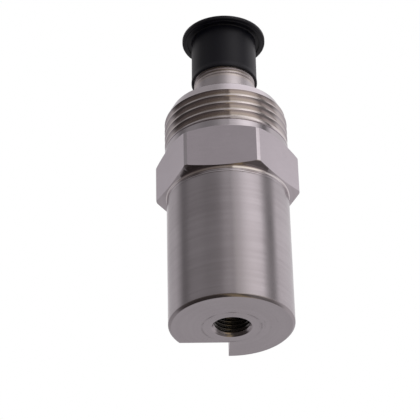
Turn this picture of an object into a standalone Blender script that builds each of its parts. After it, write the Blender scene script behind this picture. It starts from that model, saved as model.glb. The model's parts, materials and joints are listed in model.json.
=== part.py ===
"""Industrial vibration sensor: steel case, wrench hexagon, threaded collar and capped connector.

The sensor stands on its mounting face. The origin is the centre of that face and +Z runs up the
axis to the connector. Two of the wrench flats are square to the Y axis. Sizes are in metres.
"""

import math

import bmesh
import bpy
from mathutils import Matrix, Vector

MM = 0.001

# Fits between neighbouring pieces
SEAT_GAP = 0.3 * MM
PIN_GAP = 0.15 * MM
CAP_GAP = 0.15 * MM

# Case: a turned cup with a blind threaded hole in its thick floor
CASE_RADIUS = 15.5 * MM
CASE_HEIGHT = 35.5 * MM
CASE_WALL = 2.3 * MM
CASE_FLOOR = 14.0 * MM
CASE_LIP_CHAMFER = 0.25 * MM
FACE_CHAMFER = 0.6 * MM
MOUNT_HOLE_RADIUS = 4.3 * MM
MOUNT_HOLE_DEPTH = 9.5 * MM
MOUNT_HOLE_SINK = 0.7 * MM
DRILL_POINT_ANGLE = math.radians(118)

# Step milled out of the edge of the mounting face
STEP_YAW = math.radians(6.5)
STEP_DEPTH = 7.7 * MM
STEP_END_OFFSET = -0.36 * MM
STEP_HEIGHT = 6.0 * MM

# Header: weld ring, wrench hexagon, plain shoulder and threaded collar
WELD_RING_HEIGHT = 1.2 * MM
HEX_FLAT_STAND = 0.5 * MM
HEX_CORNER_TRIM = 0.275 * MM
HEX_CORNER_HEIGHT = 9.35 * MM
HEX_LOWER_CHAMFER_ANGLE = math.radians(20.7)
HEX_UPPER_CHAMFER_ANGLE = math.radians(30)
COLLAR_STAND = 0.3 * MM
SHOULDER_HEIGHT = 2.0 * MM
RELIEF_WIDTH = 0.45 * MM
RELIEF_DEPTH = 0.5 * MM
THREAD_LENGTH = 8.45 * MM
COLLAR_CHAMFER_HEIGHT = 3.3 * MM
COLLAR_CHAMFER_DEPTH = 1.7 * MM
HEADER_ROOF = 5.2 * MM
SPIGOT_LENGTH = 3.0 * MM
SPIGOT_WALL = 1.1 * MM

# Collar thread
THREAD_PITCH = 2.2 * MM
THREAD_DEPTH = 1.15 * MM
THREAD_ROOT_FLAT = 0.45 * MM
THREAD_FLANK_ANGLE = math.radians(30)
THREAD_TURNS = 5
THREAD_START_ANGLE = math.radians(90)
THREAD_START_RISE = 0.65 * MM

# Connector: steel shell, glass seal and two contact pins
NECK_RADIUS = 7.94 * MM
NECK_LENGTH = 22.5 * MM
NECK_EDGE_CHAMFER = 0.5 * MM
SOCKET_RADIUS = 6.2 * MM
SOCKET_DEPTH = 17.7 * MM
CONNECTOR_SPIGOT_RADIUS = 6.4 * MM
CONNECTOR_BORE_RADIUS = 5.3 * MM
KEYWAY_WIDTH = 2.2 * MM
KEYWAY_DEPTH = 0.8 * MM
KEYWAY_LENGTH = 10.0 * MM
SEAL_THICKNESS = 3.5 * MM
PIN_RADIUS = 0.79 * MM
PIN_SPACING = 5.6 * MM
PIN_REACH = 9.7 * MM
PIN_TAIL = 3.1 * MM
SOLDER_CUP_DEPTH = 1.6 * MM
SOLDER_CUP_WALL = 0.3 * MM

# Dust cap: one moulding with a pull flange at its closed end
CAP_SKIRT_WALL = 0.44 * MM
CAP_LIP_WALL = 0.14 * MM
CAP_LENGTH = 14.6 * MM
CAP_END_WALL = 1.2 * MM
CAP_FLANGE_RADIUS = 10.97 * MM
CAP_FLANGE_THICKNESS = 1.1 * MM
CAP_RIDGE_WIDTH = 0.7 * MM
CAP_RIDGE_HEIGHT = 0.25 * MM
CAP_RIDGE_INSET = 0.75 * MM

# Sensing stack on the case floor
ISOLATOR_RIM = 0.1 * MM
ISOLATOR_THICKNESS = 1.2 * MM
SHIELD_GAP = 0.4 * MM
SHIELD_WALL = 0.5 * MM
SHIELD_HEADROOM = 1.45 * MM
SHIELD_HOLE_RADIUS = 2.2 * MM
PLATE_THICKNESS = 3.0 * MM
POST_RADIUS = 2.2 * MM
POST_TIP = 0.5 * MM
SLEEVE_WALL = 0.6 * MM
CRYSTAL_WIDTH = 3.8 * MM
CRYSTAL_THICKNESS = 2.0 * MM
CONTACT_THICKNESS = 0.4 * MM
TAB_WIDTH = 2.0 * MM
TAB_GAP = 0.7 * MM
WASHER_THICKNESS = 0.8 * MM
MASS_GAP = 1.5 * MM
MASS_HEIGHT = 5.0 * MM
MASS_CHAMFER = 0.5 * MM
SPRING_RADIUS = 5.0 * MM
SPRING_THICKNESS = 0.45 * MM
SPRING_RISE = 0.4 * MM
NUT_ACROSS_FLATS = 7.0 * MM
NUT_HEIGHT = 2.4 * MM

# Electronics in the header: gaps to the wire hole and to the edge of the board place the parts
SPACER_WALL = 3.2 * MM
SPACER_HEIGHT = 1.5 * MM
BOARD_THICKNESS = 1.6 * MM
BOARD_HOLE_RADIUS = 0.7 * MM
CAN_HOLE_GAP = 0.6 * MM
CAN_EDGE_GAP = 1.7 * MM
CAN_FLANGE = 0.5 * MM
CAN_HEIGHT = 6.2 * MM
CAPACITOR_HOLE_GAP = 2.7 * MM
CAPACITOR_EDGE_GAP = 3.0 * MM
CAPACITOR_WIDTH = 2.8 * MM
CAPACITOR_HEIGHT = 2.6 * MM
CAPACITOR_SPACING = 4.0 * MM
CHIP_LENGTH = 2.0 * MM
CHIP_WIDTH = 1.25 * MM
CHIP_HEIGHT = 0.6 * MM
CHIP_SPACING = 2.4 * MM
CHIP_EDGE_GAP = 1.9 * MM
CHIP_COUNT = 3
WIRE_RADIUS = 0.35 * MM
WIRE_SHIELD_GAP = 0.7 * MM
WIRE_EDGE_GAP = 4.9 * MM

# Roundness of the turned pieces
ROUND_STEPS = 64
INNER_STEPS = 36
SMALL_STEPS = 20
SHARP_ANGLE = math.radians(32)

# Layers on the post, from the plate up: node, thickness and finish
STACK_LAYERS = (
    ("ground_contact", CONTACT_THICKNESS, "brass"),
    ("crystal_lower", CRYSTAL_THICKNESS, "ceramic"),
    ("signal_contact", CONTACT_THICKNESS, "brass"),
    ("crystal_upper", CRYSTAL_THICKNESS, "ceramic"),
    ("insulating_washer", WASHER_THICKNESS, "ceramic"),
    ("seismic_mass", MASS_HEIGHT, "steel"),
    ("spring_washer", SPRING_THICKNESS + SPRING_RISE, "steel"),
    ("preload_nut", NUT_HEIGHT, "steel"),
)

# Radii that follow the case, from the outside in
STEP_WALL_OFFSET = CASE_RADIUS - STEP_DEPTH
HEX_ACROSS_FLATS = 2 * (CASE_RADIUS + HEX_FLAT_STAND)
HEX_CORNER_RADIUS = HEX_ACROSS_FLATS / 2 / math.cos(math.pi / 6) - HEX_CORNER_TRIM
COLLAR_RADIUS = CASE_RADIUS + COLLAR_STAND
CASE_BORE = CASE_RADIUS - CASE_WALL
SPIGOT_RADIUS = CASE_BORE - SEAT_GAP
HEADER_BORE = SPIGOT_RADIUS - SPIGOT_WALL
SHIELD_RADIUS = HEADER_BORE - SHIELD_GAP
SHIELD_BORE = SHIELD_RADIUS - SHIELD_WALL
ISOLATOR_RADIUS = SHIELD_RADIUS + ISOLATOR_RIM
MASS_RADIUS = SHIELD_BORE - MASS_GAP
TAB_REACH = SHIELD_BORE - TAB_GAP
WIRE_LANE = SHIELD_BORE - WIRE_SHIELD_GAP
STACK_BORE = POST_RADIUS + SEAT_GAP
SLEEVE_RADIUS = STACK_BORE + SLEEVE_WALL
CRYSTAL_BORE = SLEEVE_RADIUS + SEAT_GAP
CRYSTAL_OUTER_RADIUS = CRYSTAL_BORE + CRYSTAL_WIDTH
CAP_BORE = NECK_RADIUS + CAP_GAP

# Parts on the board, which fit between its wire hole and its edge
BOARD_RADIUS = HEADER_BORE - SEAT_GAP
CAN_RADIUS = (BOARD_RADIUS - CAN_EDGE_GAP - CAN_HOLE_GAP) / 2 - CAN_FLANGE
CAN_OFFSET = CAN_HOLE_GAP + CAN_RADIUS + CAN_FLANGE
CAPACITOR_LENGTH = BOARD_RADIUS - CAPACITOR_EDGE_GAP - CAPACITOR_HOLE_GAP
CAPACITOR_OFFSET = CAPACITOR_HOLE_GAP + CAPACITOR_LENGTH / 2
CHIP_OFFSET = BOARD_RADIUS - CHIP_EDGE_GAP - CHIP_LENGTH / 2
WIRE_LANDING = BOARD_RADIUS - WIRE_EDGE_GAP

# Heights along the axis, from the mounting face up
HEADER_BOTTOM = CASE_HEIGHT + SEAT_GAP
SPIGOT_BOTTOM = HEADER_BOTTOM - SPIGOT_LENGTH
HEX_LOWER_SLOPE = math.tan(HEX_LOWER_CHAMFER_ANGLE)
HEX_UPPER_SLOPE = math.tan(HEX_UPPER_CHAMFER_ANGLE)
HEX_BOTTOM = HEADER_BOTTOM + WELD_RING_HEIGHT
HEX_CORNER_BOTTOM = HEX_BOTTOM + (HEX_CORNER_RADIUS - CASE_RADIUS) * HEX_LOWER_SLOPE
HEX_CORNER_TOP = HEX_CORNER_BOTTOM + HEX_CORNER_HEIGHT
HEX_TOP = HEX_CORNER_TOP + (HEX_CORNER_RADIUS - COLLAR_RADIUS) * HEX_UPPER_SLOPE
RELIEF_BOTTOM = HEX_TOP + SHOULDER_HEIGHT
THREAD_BOTTOM = RELIEF_BOTTOM + RELIEF_WIDTH
COLLAR_CHAMFER_BOTTOM = THREAD_BOTTOM + THREAD_LENGTH
COLLAR_TOP = COLLAR_CHAMFER_BOTTOM + COLLAR_CHAMFER_HEIGHT
HEADER_CEILING = COLLAR_TOP - HEADER_ROOF
NECK_BOTTOM = COLLAR_TOP + SEAT_GAP
NECK_TOP = NECK_BOTTOM + NECK_LENGTH
SOCKET_FLOOR = NECK_TOP - SOCKET_DEPTH
SEAL_BOTTOM = SOCKET_FLOOR + SEAT_GAP
SEAL_TOP = SEAL_BOTTOM + SEAL_THICKNESS
CAP_CEILING = NECK_TOP + SEAT_GAP
CAP_TOP = CAP_CEILING + CAP_END_WALL
ISOLATOR_BOTTOM = CASE_FLOOR + SEAT_GAP
PLATE_BOTTOM = ISOLATOR_BOTTOM + ISOLATOR_THICKNESS + SEAT_GAP
PLATE_TOP = PLATE_BOTTOM + PLATE_THICKNESS
STACK_TOP = PLATE_TOP + sum(SEAT_GAP + thickness for _, thickness, _ in STACK_LAYERS)
POST_TOP = STACK_TOP + POST_TIP
SHIELD_TOP = POST_TOP + SHIELD_HEADROOM + SHIELD_WALL
SPACER_BOTTOM = SHIELD_TOP + SEAT_GAP
BOARD_BOTTOM = SPACER_BOTTOM + SPACER_HEIGHT + SEAT_GAP
BOARD_TOP = BOARD_BOTTOM + BOARD_THICKNESS
PART_BOTTOM = BOARD_TOP + SEAT_GAP


def clear_scene():
    """Remove every object, so that the model starts from nothing."""
    for item in list(bpy.data.objects):
        bpy.data.objects.remove(item, do_unlink=True)


def make_collection(name):
    """Return a new collection linked to the scene."""
    collection = bpy.data.collections.new(name)
    bpy.context.scene.collection.children.link(collection)
    return collection


def principled(name, colour, roughness, metallic):
    """Return a material with one colour, roughness and metallic value."""
    material = bpy.data.materials.new(name)
    material.use_nodes = True
    shader = material.node_tree.nodes["Principled BSDF"]
    shader.inputs["Base Color"].default_value = (*colour, 1.0)
    shader.inputs["Roughness"].default_value = roughness
    shader.inputs["Metallic"].default_value = metallic
    material.diffuse_color = (*colour, 1.0)
    return material


def link(item, collection, material=None):
    """Put an object in one collection and give it its material."""
    for owner in list(item.users_collection):
        owner.objects.unlink(item)
    collection.objects.link(item)
    if material is not None:
        item.data.materials.clear()
        item.data.materials.append(material)
    return item


def as_cutter(item):
    """Mark an object as a tool that only cuts other objects."""
    item.hide_render = True
    item.display_type = "WIRE"
    return item


def turned(name, outline, collection, material=None, steps=ROUND_STEPS):
    """Turn an outline of (radius, height) points about Z.

    The outline starts at the top, runs down the outer side and comes back up the bore. One that
    starts and ends on the axis makes a solid piece; any other is closed into a ring.
    """
    mesh = bpy.data.meshes.new(name)
    corners = [(radius, 0.0, height) for radius, height in outline]
    edges = [(index, index + 1) for index in range(len(corners) - 1)]
    if outline[0][0] > 0.0:
        edges.append((len(corners) - 1, 0))
    mesh.from_pydata(corners, edges, [])
    item = bpy.data.objects.new(name, mesh)
    link(item, collection, material)
    screw = item.modifiers.new("turn", "SCREW")
    screw.axis = "Z"
    screw.steps = steps
    screw.render_steps = steps
    screw.use_merge_vertices = True
    screw.merge_threshold = 0.000001
    return item


def ring(name, inner, outer, bottom, height, collection, material, steps=INNER_STEPS):
    """Return a flat washer or a short tube."""
    top = bottom + height
    outline = [(inner, top), (outer, top), (outer, bottom), (inner, bottom)]
    return turned(name, outline, collection, material, steps)


def box(name, size, centre, collection, material=None, yaw=0.0):
    """Return a box of a given size, turned about Z and then moved to its centre."""
    bpy.ops.mesh.primitive_cube_add(size=1.0)
    item = bpy.context.active_object
    item.name = name
    item.data.name = name
    place = Matrix.Translation(Vector(centre)) @ Matrix.Rotation(yaw, 4, "Z")
    item.data.transform(Matrix.Diagonal((*size, 1.0)))
    item.matrix_world = place
    return link(item, collection, material)


def prism(name, across_flats, bottom, height, collection, material=None):
    """Return a hexagonal bar with two of its flats square to Y."""
    corner = across_flats / 2 / math.cos(math.pi / 6)
    bpy.ops.mesh.primitive_cylinder_add(vertices=6, radius=corner, depth=height)
    item = bpy.context.active_object
    item.name = name
    item.data.name = name
    item.rotation_euler = (0.0, 0.0, math.pi / 6)
    item.location = (0.0, 0.0, bottom + height / 2)
    return link(item, collection, material)


def boolean(item, tool, operation):
    """Cut or join one object with another and keep the tool as a cutter."""
    modifier = item.modifiers.new(operation.lower(), "BOOLEAN")
    modifier.operation = operation
    modifier.solver = "EXACT"
    modifier.object = tool
    as_cutter(tool)
    return item


def bevelled(item, width, segments=2):
    """Round the edges of an object."""
    modifier = item.modifiers.new("edges", "BEVEL")
    modifier.width = width
    modifier.segments = segments
    modifier.limit_method = "ANGLE"
    return item


def baked(item):
    """Apply an object's modifiers and shade it smooth between its sharp edges."""
    graph = bpy.context.evaluated_depsgraph_get()
    mesh = bpy.data.meshes.new_from_object(item.evaluated_get(graph))
    mesh.name = item.name
    item.modifiers.clear()
    item.data = mesh
    mesh.shade_smooth()
    mesh.set_sharp_from_angle(angle=SHARP_ANGLE)
    return item


def smooth_route(points, per_span=4):
    """Return points along a smooth curve through the given ones."""
    route = []
    last = len(points) - 1
    for index in range(last):
        before = points[max(index - 1, 0)]
        start = points[index]
        end = points[index + 1]
        after = points[min(index + 2, last)]
        for step in range(per_span):
            t = step / per_span
            bend = (2 * start + (end - before) * t + (2 * before - 5 * start + 4 * end - after) * t ** 2
                    + (3 * start - before - 3 * end + after) * t ** 3)
            route.append(bend / 2)
    route.append(points[last])
    return route


def wire(name, points, collection, material):
    """Return a round insulated wire through the given points."""
    curve = bpy.data.curves.new(name, "CURVE")
    curve.dimensions = "3D"
    curve.bevel_depth = WIRE_RADIUS
    curve.bevel_resolution = 2
    curve.use_fill_caps = True
    route = smooth_route([Vector(point) for point in points])
    spline = curve.splines.new("POLY")
    spline.points.add(len(route) - 1)
    for spot, point in zip(spline.points, route):
        spot.co = (*point, 1.0)
    item = bpy.data.objects.new(name, curve)
    return link(item, collection, material)


def thread_cutter(collection):
    """Return the helical groove that is cut into the collar."""
    root = COLLAR_RADIUS - THREAD_DEPTH
    crest = COLLAR_RADIUS + RELIEF_WIDTH
    half_root = THREAD_ROOT_FLAT / 2
    half_crest = half_root + (crest - root) * math.tan(THREAD_FLANK_ANGLE)
    centre = THREAD_BOTTOM + THREAD_START_RISE
    outline = [(root, half_root), (crest, half_crest), (crest, -half_crest), (root, -half_root)]
    mesh = bpy.data.meshes.new("thread_groove")
    corners = [(radius, 0.0, centre + height) for radius, height in outline]
    mesh.from_pydata(corners, [(0, 1), (1, 2), (2, 3), (3, 0)], [])
    mesh.transform(Matrix.Rotation(THREAD_START_ANGLE, 4, "Z"))
    item = bpy.data.objects.new("thread_groove", mesh)
    link(item, collection)
    screw = item.modifiers.new("helix", "SCREW")
    screw.axis = "Z"
    screw.steps = ROUND_STEPS
    screw.render_steps = ROUND_STEPS
    screw.iterations = THREAD_TURNS
    screw.screw_offset = THREAD_PITCH
    baked(item)
    shape = bmesh.new()
    shape.from_mesh(item.data)
    bmesh.ops.holes_fill(shape, edges=shape.edges[:], sides=4)
    bmesh.ops.recalc_face_normals(shape, faces=shape.faces[:])
    shape.to_mesh(item.data)
    shape.free()
    return item


def make_case(parts, cutters, steel):
    """Make the cup that carries everything, with its threaded hole and its milled step."""
    outline = [
        (CASE_BORE, CASE_HEIGHT),
        (CASE_RADIUS - CASE_LIP_CHAMFER, CASE_HEIGHT),
        (CASE_RADIUS, CASE_HEIGHT - CASE_LIP_CHAMFER),
        (CASE_RADIUS, FACE_CHAMFER),
        (CASE_RADIUS - FACE_CHAMFER, 0.0),
        (MOUNT_HOLE_RADIUS + MOUNT_HOLE_SINK, 0.0),
        (MOUNT_HOLE_RADIUS, MOUNT_HOLE_SINK),
        (MOUNT_HOLE_RADIUS, MOUNT_HOLE_DEPTH),
        (0.0, MOUNT_HOLE_DEPTH + MOUNT_HOLE_RADIUS / math.tan(DRILL_POINT_ANGLE / 2)),
    ]
    outline = [(0.0, CASE_FLOOR), (CASE_BORE, CASE_FLOOR)] + outline
    case = turned("case", outline, parts, steel)
    reach = 2 * CASE_RADIUS
    local = Vector((STEP_END_OFFSET - reach / 2, STEP_WALL_OFFSET + reach / 2, 0.0))
    centre = Matrix.Rotation(STEP_YAW, 3, "Z") @ local
    step = box("milled_step", (reach, reach, 2 * STEP_HEIGHT), centre, cutters, yaw=STEP_YAW)
    return boolean(case, step, "DIFFERENCE")


def make_header(parts, cutters, steel):
    """Make the header: spigot, weld ring, wrench hexagon, shoulder and threaded collar."""
    collar_tip = COLLAR_RADIUS - COLLAR_CHAMFER_DEPTH
    bore = CONNECTOR_SPIGOT_RADIUS + SEAT_GAP
    outline = [
        (bore, COLLAR_TOP),
        (collar_tip, COLLAR_TOP),
        (COLLAR_RADIUS, COLLAR_CHAMFER_BOTTOM),
        (COLLAR_RADIUS, THREAD_BOTTOM),
        (COLLAR_RADIUS - RELIEF_DEPTH, THREAD_BOTTOM - RELIEF_WIDTH / 3),
        (COLLAR_RADIUS - RELIEF_DEPTH, RELIEF_BOTTOM + RELIEF_WIDTH / 3),
        (COLLAR_RADIUS, RELIEF_BOTTOM),
        (COLLAR_RADIUS, HEX_TOP),
        (HEX_CORNER_RADIUS, HEX_CORNER_TOP),
        (HEX_CORNER_RADIUS, HEX_CORNER_BOTTOM),
        (CASE_RADIUS, HEX_BOTTOM),
        (CASE_RADIUS, HEADER_BOTTOM),
        (SPIGOT_RADIUS, HEADER_BOTTOM),
        (SPIGOT_RADIUS, SPIGOT_BOTTOM),
        (HEADER_BORE, SPIGOT_BOTTOM),
        (HEADER_BORE, HEADER_CEILING),
        (bore, HEADER_CEILING),
    ]
    header = turned("hex_header", outline, parts, steel)
    hex_height = HEX_TOP - HEX_BOTTOM
    waste_radius = 1.5 * HEX_CORNER_RADIUS
    bar = prism("hexagon", HEX_ACROSS_FLATS, HEX_BOTTOM - hex_height, 3 * hex_height, cutters)
    outline = [(0.0, HEX_TOP), (waste_radius, HEX_TOP), (waste_radius, HEX_BOTTOM), (0.0, HEX_BOTTOM)]
    waste = turned("flat_waste", outline, cutters, steps=SMALL_STEPS)
    boolean(waste, bar, "DIFFERENCE")
    boolean(header, waste, "DIFFERENCE")
    return boolean(header, thread_cutter(cutters), "DIFFERENCE")


def make_connector_shell(parts, cutters, steel):
    """Make the connector's steel shell with the key slot in its socket."""
    mouth = SOCKET_RADIUS + NECK_EDGE_CHAMFER
    outline = [
        (mouth, NECK_TOP),
        (NECK_RADIUS - NECK_EDGE_CHAMFER, NECK_TOP),
        (NECK_RADIUS, NECK_TOP - NECK_EDGE_CHAMFER),
        (NECK_RADIUS, NECK_BOTTOM),
        (CONNECTOR_SPIGOT_RADIUS, NECK_BOTTOM),
        (CONNECTOR_SPIGOT_RADIUS, HEADER_CEILING),
        (CONNECTOR_BORE_RADIUS, HEADER_CEILING),
        (CONNECTOR_BORE_RADIUS, SOCKET_FLOOR),
        (SOCKET_RADIUS, SOCKET_FLOOR),
        (SOCKET_RADIUS, NECK_TOP - NECK_EDGE_CHAMFER),
    ]
    shell = turned("connector_shell", outline, parts, steel)
    size = (KEYWAY_WIDTH, 2 * KEYWAY_DEPTH, 2 * KEYWAY_LENGTH)
    slot = box("key_slot", size, (0.0, -SOCKET_RADIUS, NECK_TOP), cutters)
    return boolean(shell, slot, "DIFFERENCE")


def make_glass_seal(parts, cutters, glass):
    """Make the glass disc that holds the two pins in the shell."""
    outline = [
        (0.0, SEAL_TOP),
        (SOCKET_RADIUS - SEAT_GAP, SEAL_TOP),
        (SOCKET_RADIUS - SEAT_GAP, SEAL_BOTTOM),
        (0.0, SEAL_BOTTOM),
    ]
    seal = turned("glass_seal", outline, parts, glass, INNER_STEPS)
    for side, letter in ((-1, "a"), (1, "b")):
        height = 3 * SEAL_THICKNESS
        top = SEAL_BOTTOM + 2 * SEAL_THICKNESS
        radius = PIN_RADIUS + PIN_GAP
        outline = [(0.0, top), (radius, top), (radius, top - height), (0.0, top - height)]
        hole = turned("pin_hole_" + letter, outline, cutters, steps=SMALL_STEPS)
        hole.location.x = side * PIN_SPACING / 2
        boolean(seal, hole, "DIFFERENCE")
    return seal


def make_contact_pins(parts, steel):
    """Make the two contact pins, round at the tip and cupped at the tail for the wires."""
    tip = SEAL_TOP + PIN_REACH
    tail = SEAL_BOTTOM - PIN_TAIL
    dome = [(PIN_RADIUS * math.sin(turn), tip - PIN_RADIUS * (1 - math.cos(turn)))
            for turn in (0.0, math.pi / 6, math.pi / 3, math.pi / 2)]
    cup = PIN_RADIUS - SOLDER_CUP_WALL
    outline = dome + [(PIN_RADIUS, tail), (cup, tail), (cup, tail + SOLDER_CUP_DEPTH),
                      (0.0, tail + SOLDER_CUP_DEPTH)]
    for side, letter in ((-1, "a"), (1, "b")):
        pin = turned("contact_pin_" + letter, outline, parts, steel, steps=SMALL_STEPS)
        pin.location.x = side * PIN_SPACING / 2


def make_dust_cap(parts, rubber):
    """Make the push-on cap: thin skirt, closed end and pull flange with a ridge below it."""
    skirt_radius = CAP_BORE + CAP_SKIRT_WALL - CAP_LIP_WALL
    lip_radius = CAP_BORE + CAP_SKIRT_WALL
    bottom = CAP_TOP - CAP_LENGTH
    flange_bottom = CAP_TOP - CAP_FLANGE_THICKNESS
    ridge_outer = CAP_FLANGE_RADIUS - CAP_RIDGE_INSET
    ridge_inner = ridge_outer - CAP_RIDGE_WIDTH
    edge = CAP_FLANGE_THICKNESS / 4
    outline = [
        (0.0, CAP_TOP),
        (CAP_FLANGE_RADIUS - edge, CAP_TOP),
        (CAP_FLANGE_RADIUS, CAP_TOP - edge),
        (CAP_FLANGE_RADIUS, flange_bottom + edge),
        (CAP_FLANGE_RADIUS - edge, flange_bottom),
        (ridge_outer, flange_bottom),
        (ridge_outer, flange_bottom - CAP_RIDGE_HEIGHT),
        (ridge_inner, flange_bottom - CAP_RIDGE_HEIGHT),
        (ridge_inner, flange_bottom),
        (skirt_radius, flange_bottom),
        (lip_radius, bottom),
        (CAP_BORE, bottom),
        (CAP_BORE, CAP_CEILING),
        (0.0, CAP_CEILING),
    ]
    return turned("dust_cap", outline, parts, rubber)


def make_isolator(parts, ceramic):
    """Make the ceramic disc that keeps the sensing element clear of the case."""
    top = ISOLATOR_BOTTOM + ISOLATOR_THICKNESS
    outline = [(0.0, top), (ISOLATOR_RADIUS, top), (ISOLATOR_RADIUS, ISOLATOR_BOTTOM), (0.0, ISOLATOR_BOTTOM)]
    return turned("isolator_disc", outline, parts, ceramic, INNER_STEPS)


def stack_bottoms():
    """Return the bottom of each piece on the post."""
    bottoms = {}
    level = PLATE_TOP
    for name, thickness, _ in STACK_LAYERS:
        bottoms[name] = level + SEAT_GAP
        level = bottoms[name] + thickness
    return bottoms


def make_sensing_base(parts, steel):
    """Make the plate and post that carry the crystals, turned as one piece."""
    outline = [
        (0.0, POST_TOP),
        (POST_RADIUS - POST_TIP / 2, POST_TOP),
        (POST_RADIUS, POST_TOP - POST_TIP / 2),
        (POST_RADIUS, PLATE_TOP),
        (SHIELD_BORE - SEAT_GAP, PLATE_TOP),
        (SHIELD_BORE - SEAT_GAP, PLATE_BOTTOM),
        (0.0, PLATE_BOTTOM),
    ]
    return turned("sensing_base", outline, parts, steel, INNER_STEPS)


def make_stack(parts, cutters, finishes):
    """Make the pieces that are threaded on the post and clamped by the nut."""
    bottoms = stack_bottoms()
    make_sensing_base(parts, finishes["steel"])
    sleeve_bottom = PLATE_TOP + SEAT_GAP
    sleeve_height = bottoms["seismic_mass"] - SEAT_GAP - sleeve_bottom
    ring("post_sleeve", STACK_BORE, SLEEVE_RADIUS, sleeve_bottom, sleeve_height, parts,
         finishes["plastic"], SMALL_STEPS)
    for name, thickness, finish in STACK_LAYERS:
        if finish != "steel":
            ring(name, CRYSTAL_BORE, CRYSTAL_OUTER_RADIUS, bottoms[name], thickness, parts,
                 finishes[finish])
    length = TAB_REACH - CRYSTAL_OUTER_RADIUS + TAB_WIDTH
    middle = (TAB_REACH - length / 2, 0.0, bottoms["signal_contact"] + CONTACT_THICKNESS / 2)
    tab = box("solder_tab", (length, TAB_WIDTH, CONTACT_THICKNESS), middle, cutters)
    boolean(parts.objects["signal_contact"], tab, "UNION")
    make_mass(parts, finishes["steel"], bottoms["seismic_mass"])
    make_spring_washer(parts, finishes["steel"], bottoms["spring_washer"])
    make_preload_nut(parts, cutters, finishes["steel"], bottoms["preload_nut"])
    return bottoms


def make_mass(parts, steel, bottom):
    """Make the heavy ring that loads the crystals when the case shakes."""
    top = bottom + MASS_HEIGHT
    outline = [
        (STACK_BORE, top),
        (MASS_RADIUS - MASS_CHAMFER, top),
        (MASS_RADIUS, top - MASS_CHAMFER),
        (MASS_RADIUS, bottom + MASS_CHAMFER),
        (MASS_RADIUS - MASS_CHAMFER, bottom),
        (STACK_BORE, bottom),
    ]
    return turned("seismic_mass", outline, parts, steel, INNER_STEPS)


def make_spring_washer(parts, steel, bottom):
    """Make the coned washer under the nut."""
    outline = [
        (STACK_BORE, bottom + SPRING_RISE + SPRING_THICKNESS),
        (SPRING_RADIUS, bottom + SPRING_THICKNESS),
        (SPRING_RADIUS, bottom),
        (STACK_BORE, bottom + SPRING_RISE),
    ]
    return turned("spring_washer", outline, parts, steel, INNER_STEPS)


def make_preload_nut(parts, cutters, steel, bottom):
    """Make the hexagonal nut that clamps the stack on the post."""
    nut = prism("preload_nut", NUT_ACROSS_FLATS, bottom, NUT_HEIGHT, parts, steel)
    low = bottom - NUT_HEIGHT
    high = bottom + 2 * NUT_HEIGHT
    outline = [(0.0, high), (STACK_BORE, high), (STACK_BORE, low), (0.0, low)]
    return boolean(nut, turned("nut_bore", outline, cutters, steps=SMALL_STEPS), "DIFFERENCE")


def make_shield(parts, steel):
    """Make the thin can over the sensing stack, with a hole for the signal wire."""
    outline = [
        (SHIELD_HOLE_RADIUS, SHIELD_TOP),
        (SHIELD_RADIUS, SHIELD_TOP),
        (SHIELD_RADIUS, PLATE_BOTTOM),
        (SHIELD_BORE, PLATE_BOTTOM),
        (SHIELD_BORE, SHIELD_TOP - SHIELD_WALL),
        (SHIELD_HOLE_RADIUS, SHIELD_TOP - SHIELD_WALL),
    ]
    return turned("shield_can", outline, parts, steel, INNER_STEPS)


def landing_points():
    """Return where the two connector wires meet the board."""
    return [(side * WIRE_LANDING, -WIRE_LANDING / 2) for side in (-1, 1)]


def make_board(parts, cutters, finishes):
    """Make the round circuit board, the ring that carries it and the hole for the signal wire."""
    spacer_outer = BOARD_RADIUS - SEAT_GAP
    ring("board_spacer", spacer_outer - SPACER_WALL, spacer_outer, SPACER_BOTTOM, SPACER_HEIGHT,
         parts, finishes["plastic"])
    outline = [(0.0, BOARD_TOP), (BOARD_RADIUS, BOARD_TOP), (BOARD_RADIUS, BOARD_BOTTOM), (0.0, BOARD_BOTTOM)]
    board = turned("circuit_board", outline, parts, finishes["laminate"], INNER_STEPS)
    low = BOARD_BOTTOM - BOARD_THICKNESS
    high = BOARD_TOP + BOARD_THICKNESS
    outline = [(0.0, high), (BOARD_HOLE_RADIUS, high), (BOARD_HOLE_RADIUS, low), (0.0, low)]
    hole = turned("wire_hole", outline, cutters, steps=SMALL_STEPS)
    return boolean(board, hole, "DIFFERENCE")


def make_components(parts, cutters, finishes):
    """Make the parts on the circuit board."""
    top = PART_BOTTOM + CAN_HEIGHT
    flange_top = PART_BOTTOM + CAN_FLANGE
    outline = [
        (0.0, top),
        (CAN_RADIUS - CAN_FLANGE, top),
        (CAN_RADIUS, top - CAN_FLANGE),
        (CAN_RADIUS, flange_top),
        (CAN_RADIUS + CAN_FLANGE, flange_top),
        (CAN_RADIUS + CAN_FLANGE, PART_BOTTOM),
        (0.0, PART_BOTTOM),
    ]
    can = turned("amplifier_can", outline, parts, finishes["steel"], SMALL_STEPS)
    can.location.y = CAN_OFFSET
    for side, letter in ((-1, "a"), (1, "b")):
        size = (CAPACITOR_WIDTH, CAPACITOR_LENGTH, CAPACITOR_HEIGHT)
        centre = (side * CAPACITOR_SPACING / 2, -CAPACITOR_OFFSET, PART_BOTTOM + CAPACITOR_HEIGHT / 2)
        body = box("capacitor_" + letter, size, centre, parts, finishes["resin"])
        bevelled(body, SEAT_GAP)
    size = (CHIP_LENGTH, CHIP_WIDTH, CHIP_HEIGHT)
    for index in range(CHIP_COUNT):
        offset = (index - (CHIP_COUNT - 1) / 2) * CHIP_SPACING
        centre = (-CHIP_OFFSET, offset + CHIP_SPACING, PART_BOTTOM + CHIP_HEIGHT / 2)
        box("resistor_" + "abc"[index], size, centre, parts, finishes["resin"])


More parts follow.
